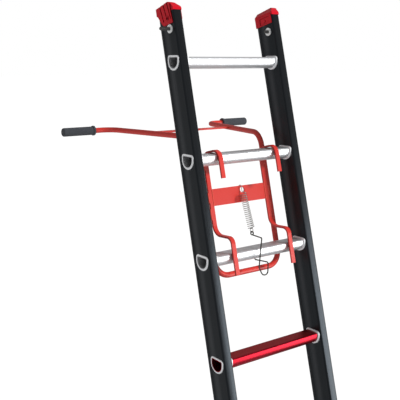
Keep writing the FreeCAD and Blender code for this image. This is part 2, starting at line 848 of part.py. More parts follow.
def hook_strap():
    """One bent flat bar: a hook over the upper rung, a leg, and a hook over the next."""
    x = strap_half_spacing
    top = hooked_rung + strap_rise
    points = [
        V(x, strap_front, hooked_rung - upper_tail),
        V(x, strap_front, top),
        V(x, strap_back, top),
        V(x, strap_back, lower_rung + strap_step_high),
        V(x, strap_front, lower_rung + strap_step_low),
        V(x, strap_front, lower_rung - lower_tail),
    ]
    bends = [hook_bend, hook_bend, strap_step_bend, strap_bend]
    return flat_bar(points, bends, strap_width, strap_thick)


def eye_hole_height():
    return hooked_rung - cross_plate_top - eye_hole_drop


def cross_plate():
    half = strap_half_spacing - strap_width / 2
    top = hooked_rung - cross_plate_top
    plate = box(-half, half, strap_back - cross_plate_thick / 2,
                strap_back + cross_plate_thick / 2, top - cross_plate_height, top)
    hole = rod_y(eye_hole_radius, strap_back - cross_plate_thick,
                 strap_back + cross_plate_thick, eye_hole_side, eye_hole_height())
    return plate.cut(hole)


def tension_spring():
    """Plain sleeve of the coil's size, with its hook over the plate and its lower loop."""
    plate_front = strap_back - cross_plate_thick / 2
    plate_back = strap_back + cross_plate_thick / 2
    plate_top = hooked_rung - cross_plate_top
    start = V(spring_top_side, plate_front - spring_plate_gap - spring_radius,
              eye_hole_height() - spring_start)
    end = V(0, fly_depth + spring_depth, start.z - spring_length)
    along = start - end
    length = along.Length
    along.normalize()
    coil = Part.makeCylinder(spring_radius, length, end, along)
    coil = coil.cut(Part.makeCylinder(spring_bore, length + 2, end - along, along))
    disc_thick = 2 * spring_wire
    end_discs = [Part.makeCylinder(spring_bore + 0.5, disc_thick, place, along)
                 for place in (end, start - along * disc_thick)]
    x = eye_hole_side - eye_hole_radius + spring_wire + spring_hook_gap
    rising = start.y + spring_hook_set
    behind = plate_back + spring_wire + spring_hook_back_gap
    over = plate_top + spring_wire + spring_hook_gap
    hook = round_bar([V(x, rising, start.z - disc_thick), V(x, rising, over),
                      V(x, behind, over), V(x, behind, eye_hole_height()),
                      V(x, strap_back, eye_hole_height())], spring_hook_bends, spring_wire)
    loop = Part.makeTorus(loop_radius, spring_wire, V(0, end.y, loop_height()), X_AXIS)
    return join([coil, hook, loop] + end_discs)


def loop_height():
    """Centre of the spring's lower loop."""
    bottom = eye_hole_height() - spring_start - spring_length
    return bottom - loop_radius + spring_wire


def wire_hook():
    """Bent wire: eye, front leg, finger loop, and a hook that turns up behind the rung."""
    depth = fly_depth + spring_depth
    front = fly_depth - rung_front_reach - wire_front_gap - wire_radius
    link_low = loop_height() - loop_radius
    eye_middle = link_low + spring_wire + wire_radius + wire_gap - wire_eye_radius
    eye_low = eye_middle - wire_eye_radius
    under = lower_rung - rung_bottom_reach - wire_radius - wire_under_gap
    behind = fly_depth + rung_back_reach + wire_radius + wire_back_gap
    loop_high = lower_rung - wire_loop_high
    loop_low = lower_rung - wire_loop_low
    points = [
        V(0, depth, eye_low),
        V(-wire_shoulder_side, front, eye_low - wire_shoulder_drop),
        V(-wire_side_set, front, loop_high),
        V(-wire_loop_left, front, loop_low),
        V(0, front, loop_low),
        V(wire_loop_right, front, lower_rung - wire_return_drop),
        V(wire_under_side, fly_depth + wire_under_depth, under),
        V(wire_tip_side, behind, lower_rung - wire_tip_drop),
    ]
    eye = Part.makeTorus(wire_eye_radius, wire_radius, V(0, depth, eye_middle), Y_AXIS)
    return join([eye, round_bar(points, wire_bends, wire_radius)])


# ---------------------------------------------------------------- writing the pieces
def save_section(name, inner, depth, first_rung, right_stile):
    for side_name, side in SIDES.items():
        save_leaned(name + "_stile_" + side_name, mirrored(right_stile, side))
    collars = []
    for step in range(rung_count):
        height = first_rung + step * rung_pitch
        save_leaned("%s_rung_%02d" % (name, step + 1), rung(inner, depth, height))
        collars += rung_collars(inner, depth, height)
    save_group(name + "_rung_collars", collars)


def save_pair(name, right_piece):
    for side_name, side in SIDES.items():
        save_leaned(name + "_" + side_name, mirrored(right_piece, side))


def save_group(name, right_pieces):
    both = [mirrored(piece, side) for side in SIDES.values() for piece in right_pieces]
    save_leaned(name, Part.makeCompound(both))


def save_feet(name, right_piece):
    for side_name, side in SIDES.items():
        save(name + "_" + side_name, mirrored(right_piece, side))


os.makedirs("parts", exist_ok=True)

save_section("base", base_inner, 0, first_rung_rise, base_stile())
save_pair("base_guide", base_guide())
save_feet("stile_boot", stile_boot())
save_leaned("stabiliser_bar", stabiliser_bar())
save_feet("stabiliser_foot", stabiliser_foot())
bar_bolts, bar_nuts = stabiliser_bolts()
save_group("stabiliser_bolts", bar_bolts)
save_group("stabiliser_nuts", bar_nuts)

save_section("fly", fly_inner, fly_depth, fly_rise, fly_stile())
save_pair("fly_cap", fly_cap())
save_pair("fly_end_plug", fly_end_plug())
studs = [mirrored(cap_stud(stud_outside[name]), side) for name, side in SIDES.items()]
save_leaned("cap_studs", Part.makeCompound(studs))
save_group("stud_washers", stud_washer_pair())
save_pair("section_hook", hook_plate())
save_group("hook_rivets", hook_rivets())
save_pair("latch", latch())
save_group("latch_pins", [latch_pin()])

bent_tube, tube_outside = standoff_tube()
save_leaned("standoff_tube", bent_tube)
save_leaned("standoff_brace", arm_brace(tube_outside))
save_pair("standoff_grip", grip())
save_pair("hook_strap", hook_strap())
save_leaned("cross_plate", cross_plate())
save_leaned("tension_spring", tension_spring())
save_leaned("wire_hook", wire_hook())
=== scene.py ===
"""Two-section extension ladder with a sprung wall stand-off: finishes, fine detail and stage."""

import json
import math

import bmesh
import bpy
import numpy as np
from bpy.props import FloatProperty, FloatVectorProperty, IntProperty, PointerProperty
from mathutils import Matrix, Vector


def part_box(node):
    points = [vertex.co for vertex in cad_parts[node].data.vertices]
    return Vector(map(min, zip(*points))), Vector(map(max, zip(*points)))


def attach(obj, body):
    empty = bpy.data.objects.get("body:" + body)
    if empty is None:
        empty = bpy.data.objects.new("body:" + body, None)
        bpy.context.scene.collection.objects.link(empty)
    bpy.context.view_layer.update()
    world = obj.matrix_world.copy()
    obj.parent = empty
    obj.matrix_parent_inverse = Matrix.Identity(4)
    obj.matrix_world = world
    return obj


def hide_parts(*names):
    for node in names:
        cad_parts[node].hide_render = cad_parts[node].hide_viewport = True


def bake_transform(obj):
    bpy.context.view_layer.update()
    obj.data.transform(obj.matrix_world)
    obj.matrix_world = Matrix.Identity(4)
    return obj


bl_info = {
    "name": "Extension ladder",
    "version": (1, 0, 0),
    "blender": (4, 5, 0),
    "location": "View3D > Sidebar > Ladder",
    "description": "Finishes, welds, spring, treads and stage for a two-section extension ladder",
    "category": "Object",
}

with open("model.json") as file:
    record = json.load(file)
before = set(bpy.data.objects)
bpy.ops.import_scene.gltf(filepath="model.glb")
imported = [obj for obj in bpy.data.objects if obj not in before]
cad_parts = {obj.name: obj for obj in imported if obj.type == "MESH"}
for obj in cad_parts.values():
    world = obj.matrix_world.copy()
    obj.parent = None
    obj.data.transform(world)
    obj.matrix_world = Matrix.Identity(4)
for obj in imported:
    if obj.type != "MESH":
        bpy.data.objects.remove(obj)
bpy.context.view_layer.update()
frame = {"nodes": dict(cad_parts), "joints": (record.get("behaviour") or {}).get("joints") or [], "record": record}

MM = 0.001
SIDES = {"left": -1, "right": 1}
RUNGS = sorted(name for name in frame["nodes"] if "_rung_" in name and name[-1].isdigit())
FLY_RUNGS = [name for name in RUNGS if name.startswith("fly")]
BASE_RUNGS = [name for name in RUNGS if name.startswith("base")]
RED_RUNG = FLY_RUNGS[-4]


# ---------------------------------------------------------------- the ladder's own axes
def slide_axis():
    """Direction of the stiles, from the joint the fly section slides on."""
    joint = next(j for j in frame["joints"] if j["name"] == "fly_slide")
    return Vector(joint["axis"]).normalized()


LEAN = math.atan2(slide_axis().y, slide_axis().z)
TIP = Matrix.Rotation(-LEAN, 4, "X")


def place(x, depth, height):
    """Point given across the ladder, through its depth and along its stiles, in metres."""
    return TIP @ Vector((x, depth, height))


def ladder_box(*names):
    """Lowest and highest corner of CAD nodes, measured along the ladder's own axes."""
    blocks = []
    for name in names:
        mesh = frame["nodes"][name].data
        points = np.zeros(len(mesh.vertices) * 3)
        mesh.vertices.foreach_get("co", points)
        blocks.append(points.reshape(-1, 3) @ np.array(TIP.to_3x3()))
    points = np.concatenate(blocks)
    return Vector(points.min(0)), Vector(points.max(0))


def rung_centre(name):
    low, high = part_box(name)
    return (low + high) / 2


# ---------------------------------------------------------------- settings
class LadderFinish(bpy.types.PropertyGroup):
    """Colours of the ladder's finishes."""

    stile: FloatVectorProperty(
        name="Stile black", description="Satin coat on the stiles",
        subtype="COLOR", min=0, max=1, default=(0.0045, 0.0044, 0.0046))
    rung: FloatVectorProperty(
        name="Rung metal", description="Drawn aluminium of the rungs",
        subtype="COLOR", min=0, max=1, default=(0.86, 0.87, 0.89))
    red_rung: FloatVectorProperty(
        name="Red rung", description="Red anodising on the highest standing rung",
        subtype="COLOR", min=0, max=1, default=(0.54, 0.018, 0.036))
    collar: FloatVectorProperty(
        name="Collar grey", description="Matt flanges and beads on the rung ends",
        subtype="COLOR", min=0, max=1, default=(0.88, 0.89, 0.91))
    cap: FloatVectorProperty(
        name="Cap red", description="Moulded caps and guides",
        subtype="COLOR", min=0, max=1, default=(0.47, 0.003, 0.012))
    standoff: FloatVectorProperty(
        name="Stand-off red", description="Powder coat on the wall stand-off",
        subtype="COLOR", min=0, max=1, default=(0.5, 0.03, 0.022))
    rubber: FloatVectorProperty(
        name="Rubber", description="Grips, boots and feet",
        subtype="COLOR", min=0, max=1, default=(0.009, 0.0112, 0.015))
    steel: FloatVectorProperty(
        name="Spring steel", description="Drawn spring wire",
        subtype="COLOR", min=0, max=1, default=(0.05, 0.05, 0.042))
    zinc: FloatVectorProperty(
        name="Zinc", description="Plated studs, bolts, rivets and latches",
        subtype="COLOR", min=0, max=1, default=(0.86, 0.87, 0.87))


class LadderSizes(bpy.types.PropertyGroup):
    """Sizes of the fine detail."""

    spring_turns: IntProperty(
        name="Spring turns", description="Turns in the tension spring", min=4, default=18)
    spring_wire: FloatProperty(
        name="Spring wire", description="Radius of the spring's wire",
        subtype="DISTANCE", unit="LENGTH", default=0.9 * MM)
    spring_loop: FloatProperty(
        name="Spring loop", description="Radius of the spring's lower loop",
        subtype="DISTANCE", unit="LENGTH", default=5.9 * MM)
    spring_reach: FloatVectorProperty(
        name="Spring reach", description="From the coil's lower end to its upper end at rest",
        subtype="TRANSLATION", unit="LENGTH", default=(3 * MM, 16.7 * MM, 93 * MM))
    spring_hook: FloatVectorProperty(
        name="Spring hook", description="From the coil's upper end to its hook's rising wire",
        subtype="TRANSLATION", unit="LENGTH", default=(2 * MM, 5 * MM, 11 * MM))
    weld_radius: FloatProperty(
        name="Weld radius", description="Half the width of a weld bead",
        subtype="DISTANCE", unit="LENGTH", default=1.9 * MM)
    weld_ripple: FloatProperty(
        name="Weld ripple", description="Spacing of the ripples along a weld bead",
        subtype="DISTANCE", unit="LENGTH", default=1.7 * MM)
    tread_ribs: IntProperty(
        name="Tread ribs", description="Ribs across each tread", min=1, default=9)
    tread_spacing: FloatProperty(
        name="Tread rib spacing", description="Distance from one tread rib to the next",
        subtype="DISTANCE", unit="LENGTH", default=3.3 * MM)
    tread_height: FloatProperty(
        name="Tread rib height", description="How far a tread rib stands up",
        subtype="DISTANCE", unit="LENGTH", default=0.22 * MM)
    stile_bead: FloatProperty(
        name="Stile bead", description="Radius of the bead drawn along each stile",
        subtype="DISTANCE", unit="LENGTH", default=1.4 * MM)
    stile_bead_inset: FloatProperty(
        name="Stile bead inset", description="Stile bead to the wall face of the stile",
        subtype="DISTANCE", unit="LENGTH", default=13.5 * MM)
    grip_flutes: IntProperty(
        name="Grip flutes", description="Lengthwise grooves round each rubber grip",
        min=6, default=22)
    grip_flute_depth: FloatProperty(
        name="Grip flute depth", description="Depth of the grooves in the rubber grips",
        subtype="DISTANCE", unit="LENGTH", default=0.55 * MM)
    thread_pitch: FloatProperty(
        name="Thread pitch", description="Pitch of the thread on the cap studs",
        subtype="DISTANCE", unit="LENGTH", default=1.5 * MM)
    thread_depth: FloatProperty(
        name="Thread depth", description="Depth of the thread on the cap studs",
        subtype="DISTANCE", unit="LENGTH", default=0.75 * MM)
    stud_inside: FloatProperty(
        name="Stud inside", description="How far each stud stands inside its stile",
        subtype="DISTANCE", unit="LENGTH", default=13 * MM)
    stud_relief: FloatProperty(
        name="Stud relief", description="Depth of the groove beyond each outer washer",
        subtype="DISTANCE", unit="LENGTH", default=1 * MM)
    stile_crown: FloatProperty(
        name="Stile crown", description="How far the stile's face seems to swell in the middle",
        subtype="DISTANCE", unit="LENGTH", default=0.9 * MM)
    boot_rib: FloatProperty(
        name="Boot rib", description="Radius of the ribs round the rubber boots",
        subtype="DISTANCE", unit="LENGTH", default=1.1 * MM)


class LadderStage(bpy.types.PropertyGroup):
    """Floor, lights and camera."""

    lens: FloatProperty(
        name="Lens", description="Focal length on a 36 mm sensor", default=65.2)
    yaw: FloatProperty(
        name="Yaw", description="Camera's turn to the right of the wall's direction",
        subtype="ANGLE", unit="ROTATION", default=math.radians(36.3))
    pitch: FloatProperty(
        name="Pitch", description="Camera's tilt below the horizon",
        subtype="ANGLE", unit="ROTATION", default=math.radians(7.78))
    offset: FloatVectorProperty(
        name="Offset", description="Camera's place from the top rung's centre",
        subtype="TRANSLATION", unit="LENGTH", default=(-1.2, -1.505, 0.0045))
    floor_size: FloatProperty(
        name="Floor size", description="Length of the floor's sides",
        subtype="DISTANCE", unit="LENGTH", default=400)
    key_from: FloatVectorProperty(
        name="Key from", description="Where the main light comes from",
        subtype="DIRECTION", default=(0.72, -0.72, 0.55))
    mirrored_floor: FloatProperty(
        name="Mirrored floor", description="How pale the floor is in reflections", default=0.3)
    key: FloatProperty(name="Key", description="Strength of the main light", default=4.3)
    panel_offset: FloatVectorProperty(
        name="Panel offset", description="Light panel's place from the top rung's centre",
        subtype="TRANSLATION", unit="LENGTH", default=(1.95, -2.15, -1.15))
    panel_size: FloatVectorProperty(
        name="Panel size", description="Width and height of the light panel",
        subtype="TRANSLATION", unit="LENGTH", size=2, default=(1.3, 2.0))
    panel: FloatProperty(name="Panel", description="Power of the light panel", default=40)
    sky: FloatProperty(name="Sky", description="Strength of the surrounding light", default=0.45)
    mirrored_sky: FloatProperty(
        name="Mirrored sky", description="How bright the surroundings are in reflections",
        default=0.27)


# ---------------------------------------------------------------- node trees
class Nodes:
    """A node tree being filled. A socket takes a value, a link or a list of links."""

    def __init__(self, tree):
        self.tree = tree

    def add(self, kind, links=None, **settings):
        node = self.tree.nodes.new(kind)
        for name, value in settings.items():
            setattr(node, name, value)
        for socket, value in (links or {}).items():
            for item in value if isinstance(value, list) else [value]:
                if isinstance(item, bpy.types.NodeSocket):
                    self.tree.links.new(item, node.inputs[socket])
                else:
                    node.inputs[socket].default_value = item
        return node

    def math(self, operation, *values):
        return self.add("ShaderNodeMath", dict(enumerate(values)), operation=operation).outputs[0]

    def vector(self, x=0.0, y=0.0, z=0.0):
        return self.add("ShaderNodeCombineXYZ", {0: x, 1: y, 2: z}).outputs[0]


# ---------------------------------------------------------------- shader helpers
class Shader(Nodes):
    """The nodes of a material, a shared effect or the world."""

    def axes(self, vector):
        """The X, Y and Z of a vector."""
        return self.add("ShaderNodeSeparateXYZ", {0: vector}).outputs

    def sideways(self):
        """How squarely the surface faces along X."""
        normal = self.add("ShaderNodeNewGeometry").outputs["Normal"]
        return self.math("ABSOLUTE", self.axes(normal)[0])

    def painted_shade_mask(self, distance, *stops):
        """How far the surface is closed in by others nearby, by its open share of sky: the mask for painted shade
        in hollows and grooves.
        """
        open_sky = self.add("ShaderNodeAmbientOcclusion", {"Distance": distance}).outputs["AO"]
        return self.ramp(open_sky, *stops)

    def ramp(self, factor, *stops):
        node = self.add("ShaderNodeValToRGB", {"Fac": factor})
        elements = node.color_ramp.elements
        while len(elements) < len(stops):
            elements.new(0.5)
        for element, (position, value) in zip(elements, stops):
            element.position = position
            level = value if isinstance(value, tuple) else (value, value, value)
            element.color = (*level, 1)
        return node.outputs["Color"]

    def blend(self, factor, first, second):
        node = self.add("ShaderNodeMix", data_type="RGBA")
        for socket, value in ((0, factor), (6, first), (7, second)):
            if isinstance(value, bpy.types.NodeSocket):
                self.tree.links.new(value, node.inputs[socket])
            elif socket:
                node.inputs[socket].default_value = (*value, 1)
            else:
                node.inputs[socket].default_value = value
        return node.outputs[2]


def effect(name, inputs, outputs):
    """A shared effect: a shader node group with named inputs and outputs."""
    group = bpy.data.node_groups.new(name, "ShaderNodeTree")
    for label, default in inputs.items():
        kind = "NodeSocketVector" if label == "Vector" else "NodeSocketFloat"
        socket = group.interface.new_socket(label, in_out="INPUT", socket_type=kind)
        if label != "Vector":
            socket.default_value = default
    for label in outputs:
        group.interface.new_socket(label, in_out="OUTPUT", socket_type="NodeSocketFloat")
    shader = Shader(group)
    return group, shader, shader.add("NodeGroupInput").outputs, shader.add("NodeGroupOutput")


def make_drawn_lines():
    """Fine die lines left along a drawn or extruded section, and its slow waviness."""
    group, shader, given, out = effect(
        "drawn_lines", {"Vector": None, "Fineness": 900.0, "Length": 3.0}, ("Lines", "Waves"))
    x, y, z = shader.axes(given["Vector"])
    stretched = shader.vector(shader.math("MULTIPLY", x, given["Fineness"]),
                              shader.math("MULTIPLY", y, given["Fineness"]),
                              shader.math("MULTIPLY", z, given["Length"]))
    lines = shader.add("ShaderNodeTexNoise", {
        "Vector": stretched, "Scale": 1.0, "Detail": 3.0, "Roughness": 0.6})
    waves = shader.add("ShaderNodeTexNoise", {
        "Vector": given["Vector"], "Scale": 26.0, "Detail": 2.0})
    shader.tree.links.new(lines.outputs["Fac"], out.inputs["Lines"])
    shader.tree.links.new(waves.outputs["Fac"], out.inputs["Waves"])
    return group


def make_scuffs():
    """Sparse rubbed patches and hairline scratches from handling."""
    group, shader, given, out = effect(
        "scuffs", {"Vector": None, "Scale": 14.0, "Amount": 0.5}, ("Rubbed", "Scratches"))
    broad = shader.add("ShaderNodeTexNoise", {
        "Vector": given["Vector"], "Scale": given["Scale"], "Detail": 5.0, "Roughness": 0.62})
    edge = shader.math("SUBTRACT", 0.86, shader.math("MULTIPLY", given["Amount"], 0.4))
    rubbed = shader.add("ShaderNodeMapRange", {
        "Value": broad.outputs["Fac"], "From Min": edge, "From Max": 0.92})
    hair = shader.add("ShaderNodeTexVoronoi", {
        "Vector": given["Vector"], "Scale": shader.math("MULTIPLY", given["Scale"], 3.0)},
        feature="DISTANCE_TO_EDGE")
    thin = shader.add("ShaderNodeMapRange", {
        "Value": hair.outputs["Distance"], "From Min": 0.012, "From Max": 0.0})
    scratches = shader.math("MULTIPLY", thin.outputs[0], rubbed.outputs[0])
    shader.tree.links.new(rubbed.outputs[0], out.inputs["Rubbed"])
    shader.tree.links.new(scratches, out.inputs["Scratches"])
    return group


def make_coat_grain():
    """Orange-peel of a sprayed or powdered coat, or the fine grain of a moulding."""
    group, shader, given, out = effect(
        "coat_grain", {"Vector": None, "Scale": 700.0}, ("Height", "Mottle"))
    peel = shader.add("ShaderNodeTexNoise", {
        "Vector": given["Vector"], "Scale": given["Scale"], "Detail": 2.0, "Roughness": 0.5})
    mottle = shader.add("ShaderNodeTexNoise", {
        "Vector": given["Vector"], "Scale": 9.0, "Detail": 3.0})
    shader.tree.links.new(peel.outputs["Fac"], out.inputs["Height"])
    shader.tree.links.new(mottle.outputs["Fac"], out.inputs["Mottle"])
    return group


EFFECTS = {"drawn_lines": make_drawn_lines, "scuffs": make_scuffs, "coat_grain": make_coat_grain}


def begin_material(name):
    """Material with its Principled shader, and coordinates along the ladder's own axes."""
    material = bpy.data.materials.new(name)
    material.use_nodes = True
    shader = Shader(material.node_tree)
    principled = material.node_tree.nodes["Principled BSDF"]
    coordinates = shader.add("ShaderNodeTexCoord").outputs["Object"]
    mapping = shader.add("ShaderNodeMapping", {"Vector": coordinates, "Rotation": (LEAN, 0, 0)})
    return material, shader, principled, mapping.outputs[0]


def use_effect(shader, name, vector, **values):
    if name not in bpy.data.node_groups:
        EFFECTS[name]()
    node = shader.add("ShaderNodeGroup", node_tree=bpy.data.node_groups[name])
    shader.tree.links.new(vector, node.inputs["Vector"])
    for label, value in values.items():
        node.inputs[label].default_value = value
    return node.outputs


def bumped(shader, principled, height, distance, strength=1.0):
    bump = shader.add("ShaderNodeBump", {
        "Height": height, "Distance": distance, "Strength": strength})
    shader.tree.links.new(bump.outputs[0], principled.inputs["Normal"])


def scaled(color, factor):
    return tuple(min(channel * factor, 1.0) for channel in color)


def drawn_metal(name, color, roughness, along_x, fineness=1100.0, depth=0.00002, dirt=0.25,
                metallic=1.0, bore=0.0, bore_shade=0.16, ends=None):
    """Drawn or rolled metal with die lines, faint waviness and handling marks; painted shade inside a bore, and a
    painted highlight on faces turned along X, when asked.
    """
    material, shader, principled, vector = begin_material(name)
    if along_x:
        x, y, z = shader.axes(vector)
        vector = shader.vector(y, z, x)
    lines = use_effect(shader, "drawn_lines", vector, Fineness=fineness, Length=4.0)
    marks = use_effect(shader, "scuffs", vector, Scale=9.0, Amount=dirt)
    tone = shader.blend(lines["Waves"], scaled(color, 0.9), scaled(color, 1.06))
    tone = shader.blend(marks["Rubbed"], tone, scaled(color, 0.72))
    # Painted shade: darkens the colour inside the bore by how closed in it is
    if bore:
        painted_shade = shader.painted_shade_mask(bore, (0.3, 1.0), (0.72, 0.0))
        tone = shader.blend(painted_shade, tone, scaled(color, bore_shade))
    # Colour by facing: faces turned along X (the stud's ends) take the bright ends colour as a painted highlight,
    # while the dark base colour on the shaft is painted shade
    if ends:
        tone = shader.blend(shader.math("POWER", shader.sideways(), 4.0), tone, ends)
    shader.tree.links.new(tone, principled.inputs["Base Color"])
    spread = shader.add("ShaderNodeMapRange", {
        "Value": lines["Lines"], "From Min": 0.3, "From Max": 0.7,
        "To Min": roughness * 0.8, "To Max": roughness * 1.25})
    rough = shader.math("ADD", spread.outputs[0], shader.math("MULTIPLY", marks["Rubbed"], 0.15))
    shader.tree.links.new(rough, principled.inputs["Roughness"])
    principled.inputs["Metallic"].default_value = metallic
    bumped(shader, principled, lines["Lines"], depth, 0.6)
    return material


def coated(name, color, roughness, grain=700.0, depth=0.00003, wear=0.3, worn=None, level=0.5,
           crevice=0.0):
    """Painted, powder-coated or moulded surface with grain, mottle and rubbed places, and painted shade in its
    crevices when asked.
    """
    material, shader, principled, vector = begin_material(name)
    skin = use_effect(shader, "coat_grain", vector, Scale=grain)
    marks = use_effect(shader, "scuffs", vector, Scale=12.0, Amount=wear)
    tone = shader.blend(skin["Mottle"], scaled(color, 0.88), scaled(color, 1.12))
    tone = shader.blend(marks["Scratches"], tone, worn or scaled(color, 1.8))
    # Painted shade: darkens the colour in grooves and recesses by how closed in they are
    if crevice:
        painted_shade = shader.painted_shade_mask(crevice, (0.45, 1.0), (0.9, 0.0))
        tone = shader.blend(painted_shade, tone, scaled(color, 0.15))
    shader.tree.links.new(tone, principled.inputs["Base Color"])
    rough = shader.add("ShaderNodeMapRange", {
        "Value": skin["Mottle"], "From Min": 0.3, "From Max": 0.7,
        "To Min": roughness * 0.88, "To Max": roughness * 1.12})
    rubbed = shader.math("ADD", rough.outputs[0], shader.math("MULTIPLY", marks["Rubbed"], 0.12))
    shader.tree.links.new(rubbed, principled.inputs["Roughness"])
    principled.inputs["Specular IOR Level"].default_value = level
    bumped(shader, principled, skin["Height"], depth, 0.7)
    return material


def stile_finish(name, color):
    """Satin black coat on an extrusion: die lines, light wear and a painted sheen along the middle of each side.
    """
    material, shader, principled, vector = begin_material(name)
    lines = use_effect(shader, "drawn_lines", vector, Fineness=700.0, Length=2.0)
    skin = use_effect(shader, "coat_grain", vector, Scale=1100.0)
    marks = use_effect(shader, "scuffs", vector, Scale=8.0, Amount=0.35)
    tone = shader.blend(lines["Waves"], scaled(color, 0.85), scaled(color, 1.25))
    tone = shader.blend(marks["Scratches"], tone, (0.09, 0.09, 0.1))
    # Painted sheen: a pale band along the middle of each side face, in place of a soft reflection
    tone = shader.blend(painted_side_sheen(shader, vector), tone, scaled(color, 6.0))
    shader.tree.links.new(tone, principled.inputs["Base Color"])
    rough = shader.add("ShaderNodeMapRange", {
        "Value": lines["Lines"], "From Min": 0.3, "From Max": 0.7, "To Min": 0.26, "To Max": 0.36})
    rubbed = shader.math("ADD", rough.outputs[0], shader.math("MULTIPLY", marks["Rubbed"], 0.1))
    shader.tree.links.new(rubbed, principled.inputs["Roughness"])
    principled.inputs["Specular IOR Level"].default_value = 0.5
    principled.inputs["Specular Tint"].default_value = (0.72, 0.86, 1.0, 1.0)
    fine = shader.math("ADD", lines["Lines"], shader.math("MULTIPLY", skin["Height"], 0.4))
    height = shader.math("ADD", shader.math("MULTIPLY", fine, 0.012 * MM),
                         stile_crown(shader, vector))
    bumped(shader, principled, height, 1.0)
    return material


def stile_crown(shader, vector):
    """Height of a shallow crown across each stile's width, the same on both sections."""
    fly_low, fly_high = ladder_box("fly_stile_right")
    base_low, base_high = ladder_box("base_stile_right")
    step = (base_low.x + base_high.x - fly_low.x - fly_high.x) / 2
    first = (fly_low.x + fly_high.x - step) / 2
    along = shader.math("SUBTRACT", shader.math("ABSOLUTE", shader.axes(vector)[0]), first)
    off = shader.math("SUBTRACT", shader.math("FLOORED_MODULO", along, step), step / 2)
    share = shader.math("DIVIDE", off, (fly_high.x - fly_low.x) / 2)
    crown = bpy.context.scene.ladder_sizes.stile_crown
    return shader.math("MULTIPLY", shader.math("MULTIPLY", share, share), -crown)


def painted_side_sheen(shader, vector):
    """Share of the painted sheen along the middle of each stile's side, on both sections."""
    depth = shader.axes(vector)[1]
    base = TIP.inverted() @ rung_centre(BASE_RUNGS[0])
    fly = TIP.inverted() @ rung_centre(FLY_RUNGS[0])
    on_fly = shader.math("LESS_THAN", depth, (base.y + fly.y) / 2 + 6 * MM)
    middle = shader.math("ADD", base.y + 10 * MM, shader.math("MULTIPLY", on_fly, fly.y - base.y))
    off = shader.math("ABSOLUTE", shader.math("SUBTRACT", depth, middle))
    band = shader.add("ShaderNodeMapRange", {
        "Value": off, "From Min": 16 * MM, "From Max": 0.0}, interpolation_type="SMOOTHSTEP")
    return shader.math("MULTIPLY", band.outputs[0], shader.sideways())


def make_finishes():
    """Every finish of the ladder, by the record's slot name."""
    color = bpy.context.scene.ladder_finish
    return {
        "stile_black": stile_finish("stile_black", color.stile),
        # The rung finishes darken their bores as painted shade
        "rung_silver": drawn_metal("rung_silver", color.rung, 0.38, True, metallic=0.78,
                                   bore=30 * MM),
        "rung_red": drawn_metal("rung_red", color.red_rung, 0.36, True, dirt=0.15,
                                bore=30 * MM, bore_shade=0.4),
        "collar_grey": drawn_metal("collar_grey", color.collar, 0.5, True, dirt=0.2, metallic=0.3),
        # The cap finish darkens its grooves as painted shade
        "cap_red": coated("cap_red", color.cap, 0.34, 420.0, 0.00003, 0.3, level=0.25,
                          crevice=5 * MM),
        "plug_black": coated("plug_black", (0.02, 0.02, 0.022), 0.5, 500.0, 0.00006),
        "rubber_black": coated("rubber_black", color.rubber, 0.52, 900.0, 0.00006, 0.5,
                               (0.1, 0.1, 0.11)),
        "bar_black": stile_finish("bar_black", color.stile),
        "standoff_red": coated("standoff_red", color.standoff, 0.36, 620.0, 0.00004, 0.35),
        "spring_steel": drawn_metal("spring_steel", color.steel, 0.45, False, 2600.0, 0.00001,
                                    metallic=0.6),
        "hook_black": coated("hook_black", (0.018, 0.018, 0.019), 0.42, 800.0, 0.00004, 0.6,
                             (0.3, 0.3, 0.3)),
        "zinc": drawn_metal("zinc", color.zinc, 0.36, True, 700.0, 0.00001, 0.3, metallic=0.3),
        # The stud finish is dark as painted shade on the shaft, with its end faces painted bright in zinc as a
        # painted highlight
        "stud_black": drawn_metal("stud_black", (0.05, 0.05, 0.049), 0.38, True, 700.0, 0.00001,
                                  metallic=0.4, ends=tuple(color.zinc)),
    }


def finish_named(name):
    return bpy.data.materials[name]


# ---------------------------------------------------------------- geometry helpers
class Tree(Nodes):
    """A Geometry Nodes tree with a named input for each of its sizes."""

    def __init__(self, name, sizes):
        super().__init__(bpy.data.node_groups.new(name, "GeometryNodeTree"))
        face = self.tree.interface
        face.new_socket("Geometry", in_out="INPUT", socket_type="NodeSocketGeometry")
        for label, value in sizes.items():
            kind = "NodeSocketFloat"
            if isinstance(value, int):
                kind = "NodeSocketInt"
            elif isinstance(value, (tuple, Vector)):
                kind = "NodeSocketVector"
            socket = face.new_socket(label, in_out="INPUT", socket_type=kind)
            socket.default_value = value
        face.new_socket("Geometry", in_out="OUTPUT", socket_type="NodeSocketGeometry")
        self.given = self.add("NodeGroupInput").outputs

    def wire(self, path, resolution, radius, caps=True):
        """Round wire along a curve."""
        profile = self.add("GeometryNodeCurvePrimitiveCircle", {
            "Resolution": resolution, "Radius": radius})
        return self.add("GeometryNodeCurveToMesh", {
            "Curve": path, "Profile Curve": profile.outputs[0], "Fill Caps": caps}).outputs[0]

    def close(self, geometry, material):
        """End the tree: real geometry, and the finish on it."""
        real = self.add("GeometryNodeRealizeInstances", {0: geometry})
        coloured = self.add("GeometryNodeSetMaterial", {
            "Geometry": real.outputs[0], "Material": finish_named(material)})
        self.add("NodeGroupOutput", {0: coloured.outputs[0]})
        return self.tree


def new_object(name, data):
    made = bpy.data.objects.new(name, data)
    bpy.context.scene.collection.objects.link(made)
    return made


